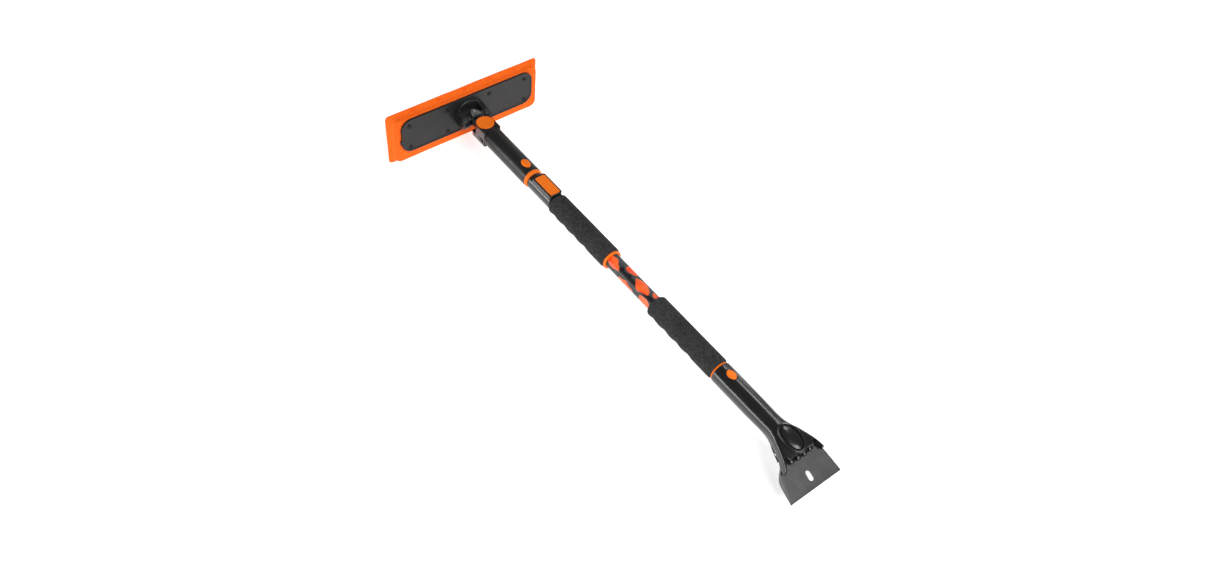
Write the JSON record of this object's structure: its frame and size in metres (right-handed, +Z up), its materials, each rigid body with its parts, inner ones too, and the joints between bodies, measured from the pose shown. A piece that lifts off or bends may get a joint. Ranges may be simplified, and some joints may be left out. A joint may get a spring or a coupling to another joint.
{
  "type": "snow broom with ice scraper",
  "caption": "Telescopic snow tool: orange foam push head on a swivel and tilt joint, foam-gripped pole, and a detachable ice scraper with a toothed body and a wide blade.",
  "frame": {"origin": "middle of the underside of the tool's bounding box, in the pole's centre plane, 59 mm below the pole's axis", "axes": "+X along the pole towards the scraper blade, +Y along the push head, +Z up, the side with the buttons"},
  "size_m": [0.8982, 0.305, 0.104],
  "materials": {
    "eva_orange": "matte closed-cell foam",
    "eva_grey": "matte closed-cell foam",
    "abs_black_satin": "satin moulded",
    "abs_black_gloss": "polished moulded",
    "abs_orange": "semi-gloss moulded",
    "camo_tube": "printed film on aluminium",
    "steel": "zinc plated",
    "steel_black": "black oxide",
    "zinc": "cast, tumbled",
    "aluminium": "drawn tube",
    "blade": "fine textured polycarbonate",
    "nylon": "natural moulded",
    "rubber": "matte"
  },
  "bodies": {
    "handle": {"outer_tube": "camo_tube", "lock_housing": "abs_black_gloss", "rocker_pin": "steel", "extension_spring": "steel", "lock_screw_1": "steel", "lock_screw_2": "steel", "foam_grip_upper": "eva_grey", "grip_collar": "abs_orange", "foam_grip_lower": "eva_grey", "scraper_connector": "abs_orange", "handle_rivet": "aluminium", "scraper_snap_spring": "steel"},
    "inner_pole": {"inner_tube": "aluminium", "head_connector": "abs_orange", "connector_rivet": "aluminium", "glide_bush": "nylon", "head_snap_spring": "steel"},
    "extension_rocker": {"extension_button": "abs_orange", "lock_shoe": "rubber"},
    "head_mount": {"head_socket": "abs_black_satin", "swivel_housing": "abs_black_gloss", "swivel_axle": "steel", "socket_screw": "steel", "swivel_button_spring": "steel"},
    "head_snap": {"head_release_button": "abs_orange"},
    "swivel_push": {"swivel_button": "abs_orange"},
    "knuckle": {"tilt_knuckle": "abs_black_satin", "catch_screw": "steel"},
    "catch": {"tilt_catch": "zinc"},
    "push_head": {"foam_pad": "eva_orange", "pad_insert": "nylon", "backing_plate": "abs_black_satin", "plate_screw_1": "steel_black", "plate_screw_2": "steel_black", "plate_screw_3": "steel_black", "plate_screw_4": "steel_black", "plate_screw_5": "steel_black", "plate_screw_6": "steel_black", "plate_screw_7": "steel_black", "plate_screw_8": "steel_black", "hub_bracket": "abs_black_satin", "tilt_pin": "steel_black", "tilt_pin_cap": "steel_black"},
    "scraper": {"scraper_body": "abs_black_gloss", "thumb_rest": "abs_black_gloss", "scraper_blade": "blade", "blade_screw_1": "steel", "blade_screw_2": "steel"},
    "scraper_snap": {"scraper_release_button": "abs_orange"}
  },
  "joints": [
    {"name": "pole_extension", "type": "slide", "parent": "handle", "child": "inner_pole", "axis": [-1, 0, 0], "range_m": [0, 0.3]},
    {"name": "extension_button_rock", "type": "hinge", "parent": "handle", "child": "extension_rocker", "pos_m": [-0.19455, 0, 0.0754], "axis": [0, 1, 0], "range_deg": [0, 4], "stiffness_Nm_per_rad": 1, "springref_deg": -5.73, "deforming": ["extension_spring"]},
    {"name": "head_pull_off", "type": "slide", "parent": "inner_pole", "child": "head_mount", "axis": [-1, 0, 0], "range_m": [0, 0.06]},
    {"name": "head_release_press", "type": "slide", "parent": "head_mount", "child": "head_snap", "axis": [0, 0, -1], "range_m": [0, 0.0025], "stiffness_N_per_m": 800, "springref_m": -0.002, "deforming": ["head_snap_spring"]},
    {"name": "swivel_button_press", "type": "slide", "parent": "head_mount", "child": "swivel_push", "axis": [0, 0, -1], "range_m": [0, 0.0022], "stiffness_N_per_m": 1200, "springref_m": -0.002, "deforming": ["swivel_button_spring"]},
    {"name": "head_swivel", "type": "hinge", "parent": "head_mount", "child": "knuckle", "pos_m": [-0.37855, 0, 0.059], "axis": [0, 0, 1], "range_deg": [-45, 45]},
    {"name": "head_tilt", "type": "hinge", "parent": "knuckle", "child": "push_head", "pos_m": [-0.41255, 0, 0.059], "axis": [0, 1, 0], "range_deg": [-40, 40]},
    {"name": "tilt_catch_slide", "type": "slide", "parent": "knuckle", "child": "catch", "axis": [1, 0, 0], "range_m": [0, 0.002], "stiffness_N_per_m": 800, "springref_m": -0.002},
    {"name": "scraper_pull_off", "type": "slide", "parent": "handle", "child": "scraper", "axis": [1, 0, 0], "range_m": [0, 0.06]},
    {"name": "scraper_release_press", "type": "slide", "parent": "scraper", "child": "scraper_snap", "axis": [0, 0, -1], "range_m": [0, 0.0025], "stiffness_N_per_m": 800, "springref_m": -0.002, "deforming": ["scraper_snap_spring"]}
  ]
}
